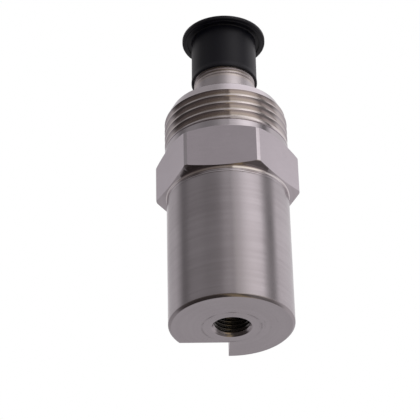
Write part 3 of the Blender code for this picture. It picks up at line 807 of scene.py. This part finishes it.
@dataclass
class Header:
    """The header: spigot, weld ring, wrench hexagon, plain shoulder and threaded collar."""

    bottom: float = 35.8
    spigot: float = 12.9
    spigot_length: float = 3.0
    bore: float = 11.8
    ring: float = 15.5
    ring_height: float = 1.0
    ring_taper: float = 0.05
    line: float = 36.2
    line_width: float = 0.1
    flat: float = 16.0
    flats: int = 6
    corner: float = 18.2
    corner_low: float = 37.5
    corner_high: float = 47.371
    collar: float = 15.8
    hex_top: float = 48.758
    relief_low: float = 50.7
    relief_high: float = 50.95
    relief_depth: float = 0.25
    relief_slope: float = 0.06
    chamfer_low: float = 59.658
    top: float = 62.958
    tip: float = 14.1
    ceiling: float = 57.758
    neck_bore: float = 6.7
    thread_root: float = 14.65
    thread_rise: float = 0.51
    rim_soft: float = 0.07

    def body(self) -> bmesh.types.BMesh:
        """Return the turned blank, with the hexagon still round."""
        root = self.collar - self.relief_depth
        return turned([
            Corner(self.neck_bore, self.top, 0.1),
            Corner(self.tip, self.top, 0.18),
            Corner(self.collar, self.chamfer_low, 0.25),
            Corner(self.collar, self.relief_high, 0.05),
            Corner(root, self.relief_high - self.relief_slope, 0.03),
            Corner(root, self.relief_low + self.relief_slope, 0.03),
            Corner(self.collar, self.relief_low, 0.07),
            Corner(self.collar, self.hex_top, 0.12),
            Corner(self.corner, self.corner_high, 0.2),
            Corner(self.corner, self.corner_low, 0.2),
            Corner(self.ring, self.bottom + self.ring_height, 0.07),
            Corner(self.ring - self.ring_taper, self.line + self.line_width, 0.03),
            Corner(self.ring - self.line_width, self.line, 0.03),
            Corner(self.ring, self.line - self.line_width, 0.03),
            Corner(self.ring, self.bottom, 0.03),
            Corner(self.spigot, self.bottom),
            Corner(self.spigot, self.bottom - self.spigot_length, 0.1),
            Corner(self.bore, self.bottom - self.spigot_length),
            Corner(self.bore, self.ceiling, 0.4),
            Corner(self.neck_bore, self.ceiling),
        ], steps=256)

    def collar_thread(self) -> Thread:
        """Return the coarse thread of the collar."""
        return Thread(crest=self.collar, root=self.thread_root, pitch=2.2, start=self.relief_high + self.thread_rise,
                      turns=4.25, root_flat=0.45, heading=math.radians(90), edge=0.04, run_out=0.35, steps=144)

    def mill_flats(self, shape: bmesh.types.BMesh) -> None:
        """Cut the six wrench flats and soften their edges.

        Args:
            shape: the threaded blank.
        """
        flats = []
        for number in range(self.flats):
            turn = math.radians(360 / self.flats * number - 90)
            outward = Matrix.Rotation(turn, 3, "Z") @ Vector((1.0, 0.0, 0.0))
            sliced = bmesh.ops.bisect_plane(
                shape, geom=shape.verts[:] + shape.edges[:] + shape.faces[:], dist=0.00001,
                plane_co=outward * self.flat, plane_no=outward, clear_outer=True)
            edges = [part for part in sliced["geom_cut"] if isinstance(part, bmesh.types.BMEdge)]
            made = bmesh.ops.contextual_create(shape, geom=edges)
            for face in made["faces"]:
                face.material_index = 1
                flats.append(face)
        rims = list({edge for face in flats for edge in face.edges})
        bmesh.ops.bevel(shape, geom=rims, affect="EDGES", offset=self.rim_soft, segments=2, profile=HALF,
                        material=-1, clamp_overlap=True)
        bmesh.ops.recalc_face_normals(shape, faces=shape.faces[:])

    def build(self, workshop: Workshop) -> None:
        """Make the header."""
        shape = cut(self.body(), [self.collar_thread().tool()])
        self.mill_flats(shape)
        workshop.piece("header_turned", shape, Slot.HEADER, ["hex_header"], [FLAT_STEEL])


@dataclass
class Connector:
    """The connector shell: plain neck, fine outer thread, and the socket with its key slot."""

    bottom: float = 63.258
    top: float = 85.758
    neck: float = 7.94
    edge: float = 0.5
    spigot: float = 6.4
    spigot_low: float = 57.758
    bore: float = 5.3
    socket: float = 6.2
    socket_floor: float = 68.058
    key_width: float = 2.2
    key_depth: float = 0.8
    key_length: float = 10.0

    def body(self) -> bmesh.types.BMesh:
        """Return the turned shell."""
        return turned([
            Corner(self.socket + self.edge, self.top, 0.08),
            Corner(self.neck - self.edge, self.top, 0.08),
            Corner(self.neck, self.top - self.edge, 0.1),
            Corner(self.neck, self.bottom, 0.1),
            Corner(self.spigot, self.bottom),
            Corner(self.spigot, self.spigot_low),
            Corner(self.bore, self.spigot_low),
            Corner(self.bore, self.socket_floor),
            Corner(self.socket, self.socket_floor),
            Corner(self.socket, self.top - self.edge, 0.05),
        ], steps=192)

    def neck_thread(self) -> Thread:
        """Return the 5/8 inch thread that the mating plug screws on."""
        return Thread(crest=self.neck, root=7.36, pitch=1.058, start=70.65, turns=15.2, root_flat=0.14,
                      heading=math.radians(200), edge=0.07, run_out=0.6, steps=96)

    def key_slot(self) -> bmesh.types.BMesh:
        """Return the tool for the key slot."""
        size = Vector((self.key_width, 2 * self.key_depth, 2 * self.key_length))
        return block(size, Vector((0.0, -self.socket, self.top)))

    def build(self, workshop: Workshop) -> None:
        """Make the shell and the weld that seats it on the header."""
        shape = cut(self.body(), [self.neck_thread().tool(), self.key_slot()])
        workshop.piece("connector_turned", shape, Slot.CONNECTOR, ["connector_shell"])
        low, high = self.bottom - JOINT_GAP + WELD_INSET, self.bottom - WELD_INSET
        inner = self.spigot + 0.05
        weld = turned([
            Corner(inner, high),
            Corner(self.neck + 0.02, high),
            Corner(self.neck + 0.22, self.bottom - 0.18, 0.08),
            Corner(self.neck + 0.3, low),
            Corner(inner, low),
        ], steps=128)
        workshop.piece("neck_weld", weld, Slot.CONNECTOR, [])


@dataclass
class DustCap:
    """The push-on cap: thin skirt, closed end, and a pull flange with a ridge below it.

    The cap is soft and sits slightly askew on the connector.
    """

    bore: float = 8.09
    skirt: float = 8.5
    skirt_low: float = 8.54
    lip: float = 8.64
    lip_height: float = 0.7
    bottom: float = 72.658
    ceiling: float = 86.058
    top: float = 87.158
    flange: float = 10.97
    flange_bottom: float = 86.158
    ridge_outer: float = 10.22
    ridge_inner: float = 9.52
    ridge_height: float = 0.25
    dimple: float = 1.4
    dimple_floor: float = 1.1
    dimple_depth: float = 0.12
    lean: float = math.radians(0.5)

    def build(self, workshop: Workshop) -> None:
        """Make the cap."""
        ridge, sunk = self.flange_bottom - self.ridge_height, self.top - self.dimple_depth
        shape = turned([
            Corner(0.0, sunk),
            Corner(self.dimple_floor, sunk, 0.1),
            Corner(self.dimple, self.top, 0.1),
            Corner(self.flange, self.top, 0.12),
            Corner(self.flange, self.flange_bottom, 0.22),
            Corner(self.ridge_outer, self.flange_bottom, 0.06),
            Corner(self.ridge_outer, ridge, 0.1),
            Corner(self.ridge_inner, ridge, 0.1),
            Corner(self.ridge_inner, self.flange_bottom, 0.06),
            Corner(self.skirt, self.flange_bottom, 0.3),
            Corner(self.skirt_low, self.bottom + 2 * self.lip_height, 0.4),
            Corner(self.lip, self.bottom + self.lip_height, 0.25),
            Corner(self.lip, self.bottom, 0.2),
            Corner(self.bore, self.bottom, 0.1),
            Corner(self.bore, self.ceiling, 0.2),
            Corner(0.0, self.ceiling),
        ], steps=192, rounding=4)
        bmesh.ops.rotate(shape, cent=AXIS * self.bottom, matrix=Matrix.Rotation(self.lean, 3, "Y"),
                         verts=shape.verts[:])
        workshop.piece("cap_moulded", shape, Slot.VINYL, ["dust_cap"])


@dataclass
class SealedPieces:
    """The pieces inside the sealed case, which keep their solids."""

    shown: tuple[str, ...] = ("case", "hex_header", "connector_shell", "dust_cap")

    def dress(self, workshop: Workshop) -> None:
        """Give each kept solid the finish of its slot.

        Args:
            workshop: where the materials are kept.
        """
        for part in frame["record"]["subparts"]:
            node = part["node"]
            if node in self.shown:
                continue
            item = frame["nodes"][node]
            item.data.materials.clear()
            item.data.materials.append(workshop.material(FINISHES[Slot(part["material_slot"])]))
            log.info("%s: finished in %s", node, part["material_slot"])


@dataclass
class PhotoCamera:
    """The camera of the photograph: a long lens below the sensor, looking up at its mounting face."""

    focal_pixels: float = 1904.78
    distance: float = 462.4
    elevation: float = math.radians(32.3)
    azimuth: float = math.radians(4.67)
    roll: float = math.radians(1.45)
    right_offset: float = 5.31
    up_offset: float = -28.449
    sensor: float = 36.0
    nearest: float = 0.01
    farthest: float = 20.0

    def ahead(self) -> Vector:
        """Return the level direction from the camera to the sensor."""
        return Vector((-math.sin(self.azimuth), math.cos(self.azimuth), 0.0))

    def aside(self) -> Vector:
        """Return the level direction to the camera's right."""
        return Vector((math.cos(self.azimuth), math.sin(self.azimuth), 0.0))

    def build(self) -> None:
        """Make the camera and set it as the scene's."""
        level_up = self.ahead() * -math.sin(self.elevation) + AXIS * math.cos(self.elevation)
        forward = self.ahead() * math.cos(self.elevation) + AXIS * math.sin(self.elevation)
        right = self.aside() * math.cos(self.roll) - level_up * math.sin(self.roll)
        up = self.aside() * math.sin(self.roll) + level_up * math.cos(self.roll)
        place = (right * self.right_offset + up * self.up_offset + forward * self.distance) * -MM
        data = bpy.data.cameras.new("photo_camera")
        data.sensor_width = self.sensor
        data.lens = self.sensor * self.focal_pixels / IMAGE_PIXELS
        data.clip_start = self.nearest
        data.clip_end = self.farthest
        camera = placed("photo_camera", data)
        camera.matrix_world = Matrix.Translation(place) @ Matrix((right, up, -forward)).transposed().to_4x4()
        bpy.context.scene.camera = camera


@dataclass
class Studio:
    """The plain studio: a pale floor, a white backdrop, soft light, and dark flags beside the set.

    The backdrop is white to the camera. Metal and glass show flags and half-lit screens instead,
    in strips that run along one leaning pole: level ones, and others for high and for low looks.
    A strip is its angle about the pole in degrees and its brightness or colour. The fields whose
    names start with to_ are the heights of a look, from -1 to 1, between which one part of the
    set gives way to the next. Under the face the floor is clear, so that both never share a plane.
    """

    camera: PhotoCamera
    lean: float = math.radians(16.86)
    fill: float = 0.75
    lamp_place: Vector = Vector((0.42, -0.30, 0.62))
    lamp_size: float = 0.4
    lamp_power: float = 2.6
    case_radius: float = 0.0148
    to_high: tuple[float, float] = (0.54, 0.565)
    to_low: tuple[float, float] = (0.46, 0.415)
    to_zenith: tuple[float, float] = (0.70, 0.88)
    to_far_down: tuple[float, float] = (0.86, 0.93)
    to_ground: tuple[float, float] = (0.35, 0.7)
    tint: Colour = (1.0, 0.965, 0.99)
    zenith: tuple[Colour, Colour] = ((0.42, 0.40, 0.41), (1.05, 1.0, 1.04))
    near_ground: tuple[Colour, Colour] = ((0.045, 0.038, 0.036), (0.18, 0.166, 0.163))
    far_ground: tuple[Colour, Colour] = ((0.055, 0.047, 0.044), (0.40, 0.355, 0.34))
    gold: tuple[Colour, Colour] = ((0.25, 0.203, 0.135), (0.40, 0.32, 0.205))
    strips: tuple[tuple[float, float], ...] = (
        (-180, 0.84), (-170, 0.8), (-152, 0.56), (-125, 0.62), (-112, 0.4), (-106, 0.2), (-98, 0.22),
        (-88, 0.36), (-70, 0.36), (-50, 0.33), (-35, 0.36), (-22, 0.39), (-10, 0.54), (0, 0.61), (12, 0.45),
        (25, 0.54), (38, 0.79), (50, 1.05), (62, 1.25), (72, 1.36), (79, 0.84), (85, 0.42), (91, 0.14),
        (96, 0.12), (101, 0.46), (107, 0.9), (125, 0.92), (152, 0.77), (170, 0.8), (180, 0.84))
    high_strips: tuple[tuple[float, float], ...] = (
        (-180, 0.66), (-152, 0.46), (-125, 0.5), (-112, 0.33), (-106, 0.2), (-98, 0.2), (-88, 0.3), (-70, 0.3),
        (-50, 0.23), (-35, 0.24), (-22, 0.31), (-12, 0.4), (-4, 0.44), (7.5, 0.46), (10, 0.68), (25, 0.88),
        (35, 1.14), (45, 1.32), (56, 1.28), (66, 1), (73, 0.8), (76.5, 0.5), (84, 0.18), (90, 0.14),
        (96, 0.46), (104, 0.74), (125, 0.67), (152, 0.68), (180, 0.66))
    low_strips: tuple[tuple[float, float, float, float], ...] = (
        (-180, 0.51, 0.49, 0.505), (-150, 0.42, 0.4, 0.41), (-112, 0.36, 0.34, 0.35), (-95, 0.13, 0.115, 0.115),
        (-60, 0.095, 0.082, 0.076), (-20, 0.13, 0.11, 0.1), (-4, 0.18, 0.157, 0.143), (8.5, 0.19, 0.165, 0.15),
        (12, 0.64, 0.6, 0.55), (40, 0.75, 0.705, 0.655), (56, 0.78, 0.725, 0.68), (66, 0.58, 0.54, 0.52),
        (72.5, 0.26, 0.24, 0.24), (78, 0.47, 0.44, 0.44), (88, 0.55, 0.52, 0.53), (110, 0.62, 0.59, 0.6),
        (150, 0.58, 0.55, 0.57), (180, 0.51, 0.49, 0.505))

    def backdrop(self) -> None:
        """Make the world: white for the camera, and the set around the sensor for its metal."""
        world = bpy.data.worlds.new("studio")
        bpy.context.scene.world = world
        graph = Graph(world)
        towards = -self.camera.ahead()
        pole = towards * math.sin(self.lean) + AXIS * math.cos(self.lean)
        front = towards * math.cos(self.lean) - AXIS * math.sin(self.lean)
        look = graph.node("ShaderNodeTexCoord", {}, {})
        ahead, aside = graph.dot(look, front), graph.dot(look, self.camera.aside())
        height = graph.dot(look, AXIS)
        depth = height * -1.0
        turn = graph.maths("ARCTAN2", aside, ahead) / math.tau + HALF
        level, high, low = (self.ramp(graph, strips, turn) for strips in (
            self.tinted(self.strips), self.tinted(self.high_strips), self.low_strips))
        strips = graph.mix(height.rise(*self.to_low), graph.mix(height.rise(*self.to_high), level, high), low)
        zenith = graph.mix(aside.rise(-0.14, 0.16), *self.zenith)
        overhead = graph.mix(height.rise(*self.to_zenith), strips, zenith)
        far_down = depth.rise(*self.to_far_down)
        ground = graph.mix(far_down, graph.mix(aside.rise(0.3, 0.46), *self.near_ground),
                           graph.mix(aside.rise(-0.12, 0.45), *self.far_ground))
        gold = graph.mix(far_down, *self.gold)
        warm = graph.mix((aside + height * 1.06 + 0.806).size().rise(0.24, 0.12), ground, gold)
        below = graph.mix(depth.rise(*self.to_ground) * ahead.rise(-0.35, -0.08), overhead, warm)
        rays = graph.node("ShaderNodeLightPath", {}, {})
        glossy, transmitted = rays.output(GLOSSY_RAY), rays.output(TRANSMITTED_RAY)
        mirrored = graph.node("ShaderNodeBackground", {}, {"Color": below})
        filled = graph.node("ShaderNodeBackground", {}, {"Color": WHITE, "Strength": self.fill})
        white = graph.node("ShaderNodeBackground", {}, {"Color": WHITE})
        around = graph.node("ShaderNodeMixShader", {}, {0: glossy.most(transmitted), 1: filled, 2: mirrored})
        seen = graph.node("ShaderNodeMixShader", {}, {0: rays, 1: around, 2: white})
        graph.node("ShaderNodeOutputWorld", {}, {"Surface": seen})
        world.cycles.sampling_method = "NONE"

    def tinted(self, strips: Sequence[tuple[float, float]]) -> list[tuple[float, ...]]:
        """Return strips in the studio's tint, from angles and brightnesses."""
        return [(angle, *(brightness * part for part in self.tint)) for angle, brightness in strips]

    @staticmethod
    def ramp(graph: Graph, strips: Sequence[tuple[float, ...]], turn: Signal) -> Signal:
        """Return the colour of the strips at a turn about the pole.

        Args:
            graph: the world's nodes.
            strips: angles in degrees with their colours.
            turn: the turn, from 0 to 1.

        Returns:
            The colour.
        """
        stops = [((angle + 180) / 360, tuple(colour)) for angle, *colour in strips]
        return graph.node("ShaderNodeValToRGB", {"stops": stops}, {0: turn})

    def floor_material(self) -> bpy.types.Material:
        """Return the floor's finish: pale, white far out, and clear from below and under the face."""
        surface = Surface("floor_pale")
        mottle = surface.noise(surface.place, 30.0, 3.0)
        colour = surface.mix(mottle, (0.86, 0.86, 0.86), (0.83, 0.83, 0.83))
        paper = surface.node("ShaderNodeBsdfDiffuse", {}, {"Color": colour})
        white = surface.node("ShaderNodeEmission", {}, {"Color": WHITE, "Strength": 1.0})
        ground = surface.node("ShaderNodeMixShader", {}, {0: surface.radius.rise(0.16, 0.6), 1: paper, 2: white})
        behind = surface.node("ShaderNodeNewGeometry", {}, {}, output=BACK_FACING)
        rays = surface.node("ShaderNodeLightPath", {}, {})
        yaw = Matrix.Rotation(Case.step_yaw, 3, "Z")
        across, along = (surface.dot(surface.place, axis) for axis in (yaw.col[0], yaw.col[1]))
        notch = (1.0 - (across > Case.step_end * MM)) * (along > Case.step_wall * MM)
        open_floor = (surface.radius > self.case_radius).most(notch)
        clear = (behind * rays).most(1.0 - open_floor)
        glass = surface.node("ShaderNodeBsdfTransparent", {}, {})
        both = surface.node("ShaderNodeMixShader", {}, {0: clear, 1: ground, 2: glass})
        surface.node("ShaderNodeOutputMaterial", {}, {"Surface": both})
        return surface.material

    def floor(self) -> None:
        """Make the floor, level with the mounting face."""
        shape = bmesh.new()
        bmesh.ops.create_circle(shape, cap_ends=True, segments=96, radius=3.0)
        mesh = bpy.data.meshes.new("floor")
        shape.to_mesh(mesh)
        shape.free()
        mesh.materials.append(self.floor_material())
        item = placed("floor", mesh)
        item.visible_glossy = False

    def lamp(self) -> None:
        """Hang the soft lamp that gives the sensor its shadow."""
        data = bpy.data.lights.new("soft_lamp", "AREA")
        data.shape = "DISK"
        data.size = self.lamp_size
        data.energy = self.lamp_power
        item = placed("soft_lamp", data)
        item.location = self.lamp_place
        item.rotation_mode = "QUATERNION"
        item.rotation_quaternion = self.lamp_place.to_track_quat("Z", "Y")
        item.visible_glossy = False

    def build(self) -> None:
        """Set up the backdrop, the floor and the lamp."""
        self.backdrop()
        self.floor()
        self.lamp()
        bpy.context.scene.view_settings.view_transform = "Standard"


def main() -> None:
    """Build the set and the sensor, sub-assembly by sub-assembly."""
    logging.basicConfig(level=logging.INFO, format="%(name)s: %(message)s")
    camera = PhotoCamera()
    camera.build()
    Studio(camera).build()
    workshop = Workshop()
    steps: tuple[Callable[[Workshop], None], ...] = (
        Case().build, Header().build, Connector().build, DustCap().build, SealedPieces().dress)
    for step in steps:
        step(workshop)


if __name__ == "__main__":
    main()
